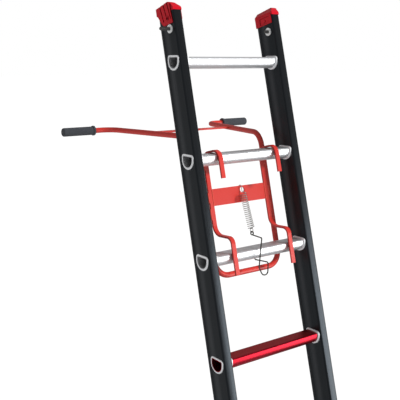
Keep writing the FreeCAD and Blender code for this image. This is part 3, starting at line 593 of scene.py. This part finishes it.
def grow(name, tree, source, smooth=True):
    """Run a tree on a mesh or curve, and keep what comes out as a plain mesh."""
    seed = new_object(name + "_seed", source)
    modifier = seed.modifiers.new("grow", "NODES")
    modifier.node_group = tree
    for item in tree.interface.items_tree:
        if item.in_out == "INPUT" and item.socket_type != "NodeSocketGeometry":
            modifier[item.identifier] = item.default_value
    evaluated = seed.evaluated_get(bpy.context.evaluated_depsgraph_get())
    mesh = bpy.data.meshes.new_from_object(evaluated)
    seed.modifiers.clear()
    bpy.data.objects.remove(seed)
    mesh.name = name
    mesh.polygons.foreach_set("use_smooth", [smooth] * len(mesh.polygons))
    return new_object(name, mesh)


def lines_mesh(name, lines, closed=False):
    """Mesh of edges only, one run for each line."""
    mesh = bpy.data.meshes.new(name)
    vertices = []
    edges = []
    for line in lines:
        first = len(vertices)
        vertices += [tuple(point) for point in line]
        edges += [(first + i, first + i + 1) for i in range(len(line) - 1)]
        if closed:
            edges.append((len(vertices) - 1, first))
    mesh.from_pydata(vertices, edges, [])
    return mesh


def points_mesh(name, points):
    mesh = bpy.data.meshes.new(name)
    mesh.from_pydata([tuple(point) for point in points], [], [])
    return mesh


def smooth_curve(name, runs):
    """Curve of one smooth spline for each run of points."""
    curve = bpy.data.curves.new(name, "CURVE")
    curve.dimensions = "3D"
    for run in runs:
        spline = curve.splines.new("NURBS")
        spline.points.add(len(run) - 1)
        for point, target in zip(run, spline.points):
            target.co = (*point, 1)
        spline.order_u = 3
        spline.use_endpoint_u = True
        spline.resolution_u = 8
    return curve


def quarter(steps):
    """Angles of a quarter turn, past its start."""
    return [math.radians(90 * step / steps) for step in range(1, steps + 1)]


def lathe(name, stations, around, radius_at, middle, axis_turn):
    """Closed shell of rings along X; radius_at(station, angle) shapes each ring."""
    shell = bmesh.new()
    rings = []
    for along, radius in stations:
        ring = []
        for step in range(around):
            angle = 2 * math.pi * step / around
            reach = radius_at(along, radius, angle)
            ring.append(shell.verts.new((along, reach * math.cos(angle), reach * math.sin(angle))))
        rings.append(ring)
    for first, second in zip(rings, rings[1:]):
        for step in range(around):
            following = (step + 1) % around
            shell.faces.new((first[step], first[following], second[following], second[step]))
    shell.faces.new(rings[0])
    shell.faces.new(rings[-1][::-1])
    bmesh.ops.recalc_face_normals(shell, faces=shell.faces)
    bmesh.ops.transform(shell, matrix=Matrix.Translation(middle) @ axis_turn, verts=shell.verts)
    if axis_turn.determinant() < 0:
        bmesh.ops.reverse_faces(shell, faces=shell.faces)
    mesh = bpy.data.meshes.new(name)
    shell.to_mesh(mesh)
    shell.free()
    mesh.polygons.foreach_set("use_smooth", [True] * len(mesh.polygons))
    return new_object(name, mesh)


def mirrored_for(side):
    """Mirror across the ladder's middle, for a piece drawn on the right."""
    return Matrix.Scale(side, 4, (1, 0, 0))


def give_finish(piece, slot):
    if not piece.data.materials:
        piece.data.materials.append(finish_named(slot))


# ---------------------------------------------------------------- pieces
class LADDER_OT_finishes(bpy.types.Operator):
    """Give every part of the frame its finish"""

    bl_idname = "ladder.finishes"
    bl_label = "Finishes"

    def execute(self, context):
        finishes = make_finishes()
        for part in frame["record"]["subparts"]:
            node = frame["nodes"][part["node"]]
            for slot in node.material_slots:
                slot.material = finishes[part["material_slot"]]
        return {"FINISHED"}


class LADDER_OT_tension_spring(bpy.types.Operator):
    """Coil the tension spring, with its upper hook and lower loop"""

    bl_idname = "ladder.tension_spring"
    bl_label = "Tension spring"

    def execute(self, context):
        sizes = context.scene.ladder_sizes
        wire = sizes.spring_wire
        low, high = ladder_box("tension_spring")
        reach = Vector(sizes.spring_reach)
        along = reach.normalized()
        outer = -low.x / math.sqrt(1 - along.x ** 2)
        coil = outer - wire
        bottom = Vector((0, low.y + outer * math.sqrt(1 - along.y ** 2),
                         low.z + 2 * sizes.spring_loop))
        top = bottom + reach
        rise = top + Vector(sizes.spring_hook)
        over = high.z - wire
        behind = high.y - wire
        upright = along.to_track_quat("Z", "X").to_matrix().to_4x4()
        coil_frame = TIP @ Matrix.Translation(bottom) @ upright
        length = reach.length

        def wound(points, height):
            return [coil_frame @ Vector((x * coil, y * coil, height + z * wire))
                    for x, y, z in points]

        upper = wound([(1, 0, 0), (0.85, 0.55, 0.4), (0.3, 0.75, 1.2)], length)
        upper += [place(*point) for point in (
            (rise.x, rise.y, top.z + 4 * wire), (rise.x, rise.y, rise.z),
            (rise.x, rise.y, over), (rise.x, behind, over), (rise.x, behind, rise.z),
            (rise.x, (rise.y + behind) / 2, rise.z))]
        lower = wound([(1, 0, 0), (0.8, -0.55, -0.4), (0.25, -0.7, -1)], 0)
        loop_middle = bottom.z - sizes.spring_loop + wire
        for step in range(14):
            angle = math.radians(125 + 24 * step)
            lower.append(place(0, bottom.y + sizes.spring_loop * math.cos(angle),
                               loop_middle + sizes.spring_loop * math.sin(angle)))
        tree = Tree("coiled_spring", {
            "Turns": float(sizes.spring_turns), "Coil Radius": coil, "Wire Radius": wire,
            "Coil Length": length, "Bottom": coil_frame.to_translation(),
            "Lean": Vector(coil_frame.to_euler())})
        spiral = tree.add("GeometryNodeCurveSpiral", {
            "Resolution": 24, "Rotations": tree.given["Turns"],
            "Start Radius": tree.given["Coil Radius"], "End Radius": tree.given["Coil Radius"],
            "Height": tree.given["Coil Length"]})
        stood = tree.add("GeometryNodeTransform", {
            "Geometry": spiral.outputs[0], "Translation": tree.given["Bottom"],
            "Rotation": tree.given["Lean"]})
        wires = tree.add("GeometryNodeJoinGeometry", {0: [stood.outputs[0], tree.given[0]]})
        coiled = tree.wire(wires.outputs[0], 10, tree.given["Wire Radius"])
        spring = grow("coiled_tension_spring", tree.close(coiled, "spring_steel"),
                      smooth_curve("spring_ends", [upper, lower]))
        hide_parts("tension_spring")
        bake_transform(spring)
        return {"FINISHED"}


def weld_tree():
    """Weld bead along each line: a core with overlapping ripples."""
    sizes = bpy.context.scene.ladder_sizes
    tree = Tree("weld_bead", {"Bead Radius": sizes.weld_radius, "Ripple": sizes.weld_ripple})
    line = tree.add("GeometryNodeMeshToCurve", {0: tree.given[0]})
    core = tree.wire(line.outputs[0], 8, tree.math("MULTIPLY", tree.given["Bead Radius"], 0.82))
    spots = tree.add("GeometryNodeCurveToPoints", {
        "Curve": line.outputs[0], "Length": tree.given["Ripple"]}, mode="LENGTH")
    blob = tree.add("GeometryNodeMeshUVSphere", {
        "Segments": 10, "Rings": 6, "Radius": tree.given["Bead Radius"]})
    ripples = tree.add("GeometryNodeInstanceOnPoints", {
        "Points": spots.outputs["Points"], "Instance": blob.outputs[0],
        "Rotation": spots.outputs["Rotation"], "Scale": (1.0, 1.0, 0.62)})
    both = tree.add("GeometryNodeJoinGeometry", {0: [core, ripples.outputs[0]]})
    return tree.close(both.outputs[0], "standoff_red")


class LADDER_OT_standoff_welds(bpy.types.Operator):
    """Weld the stand-off's straps, plate, brace and tube together"""

    bl_idname = "ladder.standoff_welds"
    bl_label = "Stand-off welds"

    def execute(self, context):
        strap_high = ladder_box("hook_strap_right")[1]
        plate_low, plate_high = ladder_box("cross_plate")
        skin = 0.2 * MM
        short = 1.5 * MM
        strap_side = 1.3 * MM
        front = plate_low.y + 0.6 * MM
        strap_runs = ((-34 * MM, -8 * MM), (10 * MM, 34 * MM), (94 * MM, 118 * MM))
        lines = []
        for side in SIDES.values():
            edge = side * (plate_high.x + skin)
            for depth in (plate_low.y + skin, plate_high.y - skin):
                lines.append([place(edge, depth, plate_low.z + short),
                              place(edge, depth, plate_high.z - short)])
            outer = side * (strap_high.x + strap_side)
            for low, high in strap_runs:
                lines.append([place(outer, front, plate_low.z + low),
                              place(outer, front, plate_low.z + high)])
        brace = frame["nodes"]["standoff_brace"].data
        corners = [vertex.co for vertex in brace.vertices]
        low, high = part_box("standoff_brace")
        touch = 0.1 * MM
        for side in SIDES.values():
            for level in (low.z, high.z):
                flat = [c for c in corners if abs(c.z - level) < touch]
                near = [c for c in flat if c.y < low.y + touch]
                far = [c for c in flat if c.y > high.y - touch]
                lines.append([max(ends, key=lambda c: side * c.x) for ends in (near, far)])
        welds = grow("standoff_welds", weld_tree(), lines_mesh("weld_lines", lines))
        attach(welds, "fly")
        return {"FINISHED"}


def tread_tree(length, slot):
    """Ribs across a tread, repeated on each rung."""
    sizes = bpy.context.scene.ladder_sizes
    tree = Tree("tread_ribs_" + slot, {
        "Ribs": sizes.tread_ribs, "Spacing": sizes.tread_spacing,
        "Rib Height": sizes.tread_height, "Rib Length": length})
    half = tree.math("MULTIPLY", tree.given["Rib Length"], 0.5)
    back = tree.math("MULTIPLY", half, -1.0)
    line = tree.add("GeometryNodeCurvePrimitiveLine", {
        "Start": tree.vector(x=back), "End": tree.vector(x=half)})
    profile = tree.add("GeometryNodeCurvePrimitiveCircle", {"Resolution": 6, "Radius": 1.0})
    squashed = tree.add("GeometryNodeTransform", {
        "Geometry": profile.outputs[0],
        "Scale": tree.vector(tree.math("MULTIPLY", tree.given["Rib Height"], 3.0),
                             tree.given["Rib Height"], 1.0)})
    rib = tree.add("GeometryNodeCurveToMesh", {
        "Curve": line.outputs[0], "Profile Curve": squashed.outputs[0], "Fill Caps": True})
    gaps = tree.math("SUBTRACT", tree.given["Ribs"], 1.0)
    width = tree.math("MULTIPLY", gaps, tree.given["Spacing"])
    row = tree.add("GeometryNodeMeshLine", {
        "Count": tree.given["Ribs"], "Offset": tree.vector(y=tree.given["Spacing"]),
        "Start Location": tree.vector(y=tree.math("MULTIPLY", width, -0.5))})
    ribs = tree.add("GeometryNodeInstanceOnPoints", {
        "Points": row.outputs[0], "Instance": rib.outputs[0]})
    treads = tree.add("GeometryNodeInstanceOnPoints", {
        "Points": tree.given[0], "Instance": ribs.outputs[0]})
    return tree.close(treads.outputs[0], slot)


class LADDER_OT_tread_ribs(bpy.types.Operator):
    """Rib the treads of every rung"""

    bl_idname = "ladder.tread_ribs"
    bl_label = "Tread ribs"

    def execute(self, context):
        groups = (
            ("fly_tread_ribs", "fly", "rung_silver", [n for n in FLY_RUNGS if n != RED_RUNG]),
            ("red_tread_ribs", "fly", "rung_red", [RED_RUNG]),
            ("base_tread_ribs", "base", "rung_silver", BASE_RUNGS),
        )
        rung_half = 15 * MM
        end_gap = 12 * MM
        for name, body, slot, rungs in groups:
            inner = 2 * min(abs(corner.x) for corner in ladder_box(body + "_stile_right"))
            tops = [rung_centre(rung) + Vector((0, 0, rung_half)) for rung in rungs]
            ribs = grow(name, tread_tree(inner - end_gap, slot),
                        points_mesh(name + "_places", tops), False)
            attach(ribs, body)
        return {"FINISHED"}


class LADDER_OT_stile_beads(bpy.types.Operator):
    """Draw the fine bead along both sides of each stile"""

    bl_idname = "ladder.stile_beads"
    bl_label = "Stile beads"

    def execute(self, context):
        sizes = context.scene.ladder_sizes
        tree = Tree("stile_bead", {"Bead Radius": sizes.stile_bead})
        line = tree.add("GeometryNodeMeshToCurve", {0: tree.given[0]})
        group = tree.close(tree.wire(line.outputs[0], 12, tree.given["Bead Radius"]), "stile_black")
        for body in ("fly", "base"):
            lines = []
            for side in SIDES:
                low, high = ladder_box("%s_stile_%s" % (body, side))
                depth = high.y - sizes.stile_bead_inset
                for x in (low.x + 0.6 * MM, high.x - 0.6 * MM):
                    lines.append([place(x, depth, low.z + 2 * MM),
                                  place(x, depth, high.z - 30 * MM)])
            beads = grow(body + "_stile_beads", group, lines_mesh(body + "_bead_lines", lines))
            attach(beads, body)
        return {"FINISHED"}


class LADDER_OT_rubber_grips(bpy.types.Operator):
    """Mould the fluted rubber grips on the stand-off's arms"""

    bl_idname = "ladder.rubber_grips"
    bl_label = "Rubber grips"

    def execute(self, context):
        sizes = context.scene.ladder_sizes
        collar_round = 2 * MM
        collar_flat = 5 * MM
        body_start = 7.4 * MM
        end_round = 4 * MM
        for side_name, side in SIDES.items():
            low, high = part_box("standoff_grip_" + side_name)
            middle = (low + high) / 2
            length = high.x - low.x
            collar = (high.z - low.z) / 2
            body = collar - collar_round
            end = length - end_round
            stations = [(0, collar - collar_round + 0.1 * MM)]
            stations += [(collar_round * (1 - math.cos(turn)),
                          collar - collar_round * (1 - math.sin(turn))) for turn in quarter(6)]
            stations.append((collar_flat, collar))
            stations += [(collar_flat + collar_round * math.sin(turn),
                          collar - collar_round * (1 - math.cos(turn))) for turn in quarter(6)]
            stations += [(body_start + (end - body_start) * step / 40, body)
                         for step in range(41)]
            stations += [(end + end_round * math.sin(turn),
                          body - end_round * (1 - math.cos(turn))) for turn in quarter(9)]
            first_flute = 14 * MM
            last_flute = length - 12 * MM

            def fluted(along, radius, angle):
                if along < first_flute or along > last_flute:
                    return radius
                groove = max(0.0, math.cos(angle * sizes.grip_flutes)) ** 2
                edge = min(along - first_flute, last_flute - along) / (4 * MM)
                return radius - sizes.grip_flute_depth * groove * min(1.0, edge)

            start_x = low.x if side > 0 else high.x
            grip = lathe("rubber_grip_" + side_name, stations, 8 * sizes.grip_flutes, fluted,
                         Vector((start_x, middle.y, middle.z)), mirrored_for(side))
            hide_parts("standoff_grip_" + side_name)
            give_finish(grip, "rubber_black")
            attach(grip, "fly")
        return {"FINISHED"}


class LADDER_OT_cap_studs(bpy.types.Operator):
    """Cut the thread on the studs below the caps"""

    bl_idname = "ladder.cap_studs"
    bl_label = "Cap studs"

    def execute(self, context):
        sizes = context.scene.ladder_sizes
        low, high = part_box("cap_studs")
        washer_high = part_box("stud_washers")[1]
        middle = (low + high) / 2
        radius = (high.z - low.z) / 2
        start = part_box("fly_stile_right")[0].x - sizes.stud_inside
        pitch = sizes.thread_pitch

        for side_name, side in SIDES.items():
            end = high.x if side > 0 else -low.x
            length = end - start
            relief = washer_high.x - start
            steps = int(length / pitch * 8)
            stations = [(length * step / steps, radius) for step in range(steps + 1)]

            def threaded(along, radius, angle):
                turn = (along / pitch - angle / (2 * math.pi)) % 1.0
                cut = sizes.thread_depth * abs(2 * turn - 1)
                if relief < along < relief + sizes.stud_relief:
                    cut = sizes.thread_depth
                chamfer = max(0.0, 0.9 * MM - min(along, length - along))
                return min(radius - cut, radius - chamfer)

            stud = lathe("threaded_stud_" + side_name, stations, 28, threaded,
                         Vector((side * start, middle.y, middle.z)), mirrored_for(side))
            if side > 0:
                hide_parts("cap_studs")
            give_finish(stud, "stud_black")
            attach(stud, "fly")
        return {"FINISHED"}


class LADDER_OT_boot_ribs(bpy.types.Operator):
    """Rib the rubber boots and the stabiliser's feet"""

    bl_idname = "ladder.boot_ribs"
    bl_label = "Boot ribs"

    def execute(self, context):
        sizes = context.scene.ladder_sizes
        tree = Tree("boot_rib", {"Rib Radius": sizes.boot_rib})
        line = tree.add("GeometryNodeMeshToCurve", {0: tree.given[0]})
        round_corners = tree.add("GeometryNodeFilletCurve", {
            "Curve": line.outputs[0], "Radius": 5 * MM, "Count": 4}, mode="POLY")
        ribs = tree.wire(round_corners.outputs[0], 8, tree.given["Rib Radius"], caps=False)
        inset = 0.4 * MM
        spacing = 6 * MM
        loops = []
        for side in SIDES:
            low, high = ladder_box("stile_boot_" + side)
            stile_low, stile_high = ladder_box("base_stile_" + side)
            wall = stile_low.x - low.x
            foot_low, foot_high = ladder_box("stabiliser_foot_" + side)
            for x0, x1, y0, y1, first, count in (
                    (low.x, high.x, stile_low.y - wall, stile_high.y + wall, 24 * MM, 4),
                    (foot_low.x, foot_high.x, foot_low.y, foot_high.y, 14 * MM, 5)):
                corners = ((x0 + inset, y0 + inset), (x1 - inset, y0 + inset),
                           (x1 - inset, y1 - inset), (x0 + inset, y1 - inset))
                loops += [[place(x, y, first + spacing * rib) for x, y in corners]
                          for rib in range(count)]
        boots = grow("boot_ribs", tree.close(ribs, "rubber_black"),
                     lines_mesh("boot_loops", loops, True))
        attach(boots, "base")
        return {"FINISHED"}


class LADDER_OT_stage(bpy.types.Operator):
    """Lay the pale floor, hang the soft lights and set up the camera"""

    bl_idname = "ladder.stage"
    bl_label = "Stage"

    def execute(self, context):
        stage = context.scene.ladder_stage
        scene = context.scene
        scene.view_settings.view_transform = "Standard"
        half = stage.floor_size / 2
        mesh = bpy.data.meshes.new("floor")
        mesh.from_pydata([(-half, -half, 0), (half, -half, 0), (half, half, 0), (-half, half, 0)],
                         [], [(0, 1, 2, 3)])
        floor = new_object("floor", mesh)
        paper = bpy.data.materials.new("pale_floor")
        paper.use_nodes = True
        shader = Shader(paper.node_tree)
        principled = paper.node_tree.nodes["Principled BSDF"]
        grain = shader.add("ShaderNodeTexNoise", {
            "Vector": shader.add("ShaderNodeTexCoord").outputs["Object"], "Scale": 3.0})
        tone = shader.blend(grain.outputs["Fac"], (0.975, 0.975, 0.975), (0.99, 0.99, 0.99))
        mirrored = shader.add("ShaderNodeLightPath").outputs["Is Glossy Ray"]
        dim = stage.mirrored_floor
        tone = shader.blend(mirrored, tone, (dim, dim, dim))
        shader.tree.links.new(tone, principled.inputs["Base Color"])
        principled.inputs["Roughness"].default_value = 0.9
        principled.inputs["Specular IOR Level"].default_value = 0.1
        floor.data.materials.append(paper)

        world = bpy.data.worlds.new("soft_studio")
        world.use_nodes = True
        sky = Shader(world.node_tree)
        background = world.node_tree.nodes["Background"]
        background.inputs["Color"].default_value = (1, 1, 1, 1)
        ray = sky.add("ShaderNodeLightPath").outputs
        seen = sky.math("MULTIPLY", ray["Is Camera Ray"], 1.0 - stage.sky)
        mirrored = sky.math("MULTIPLY", ray["Is Glossy Ray"], stage.mirrored_sky - stage.sky)
        strength = sky.math("ADD", stage.sky, sky.math("ADD", seen, mirrored))
        sky.tree.links.new(strength, background.inputs["Strength"])
        scene.world = world

        top = rung_centre(FLY_RUNGS[-1])
        key = bpy.data.lights.new("key", "SUN")
        key.energy = stage.key
        key.angle = math.radians(9)
        sun = new_object("key", key)
        sun.rotation_euler = Vector(stage.key_from).to_track_quat("Z", "Y").to_euler()
        sun.visible_glossy = False
        panel = bpy.data.lights.new("light_panel", "AREA")
        panel.shape = "RECTANGLE"
        panel.size, panel.size_y = stage.panel_size
        panel.energy = stage.panel
        lamp = new_object("light_panel", panel)
        lamp.location = top + Vector(stage.panel_offset)
        across = Vector((stage.panel_offset[0], stage.panel_offset[1], 0))
        lamp.rotation_euler = across.to_track_quat("Z", "Y").to_euler()
        lamp.visible_camera = False
        lamp.visible_diffuse = False

        camera = new_object("camera", bpy.data.cameras.new("camera"))
        camera.data.lens = stage.lens
        camera.data.sensor_width = 36
        camera.data.shift_y = -0.1
        camera.data.clip_start = 0.05
        camera.data.clip_end = 2 * stage.floor_size
        camera.location = top + Vector(stage.offset)
        camera.rotation_euler = (math.pi / 2 - stage.pitch, 0, -stage.yaw)
        scene.camera = camera
        return {"FINISHED"}


# ---------------------------------------------------------------- panel and registration
PIECES = (
    LADDER_OT_stage,
    LADDER_OT_finishes,
    LADDER_OT_tension_spring,
    LADDER_OT_standoff_welds,
    LADDER_OT_tread_ribs,
    LADDER_OT_stile_beads,
    LADDER_OT_rubber_grips,
    LADDER_OT_cap_studs,
    LADDER_OT_boot_ribs,
)


class LADDER_PT_panel(bpy.types.Panel):
    """The ladder's pieces, in the order they are made"""

    bl_label = "Extension ladder"
    bl_idname = "LADDER_PT_panel"
    bl_space_type = "VIEW_3D"
    bl_region_type = "UI"
    bl_category = "Ladder"

    def draw(self, context):
        for piece in PIECES:
            self.layout.operator(piece.bl_idname)


SETTINGS = {
    "ladder_finish": LadderFinish,
    "ladder_sizes": LadderSizes,
    "ladder_stage": LadderStage,
}


def register():
    for name, group in SETTINGS.items():
        bpy.utils.register_class(group)
        setattr(bpy.types.Scene, name, PointerProperty(type=group))
    for piece in PIECES:
        bpy.utils.register_class(piece)
    bpy.utils.register_class(LADDER_PT_panel)


def unregister():
    bpy.utils.unregister_class(LADDER_PT_panel)
    for piece in reversed(PIECES):
        bpy.utils.unregister_class(piece)
    for name, group in SETTINGS.items():
        delattr(bpy.types.Scene, name)
        bpy.utils.unregister_class(group)


def main():
    register()
    for piece in PIECES:
        category, name = piece.bl_idname.split(".")
        getattr(getattr(bpy.ops, category), name)()


if __name__ == "__main__":
    main()
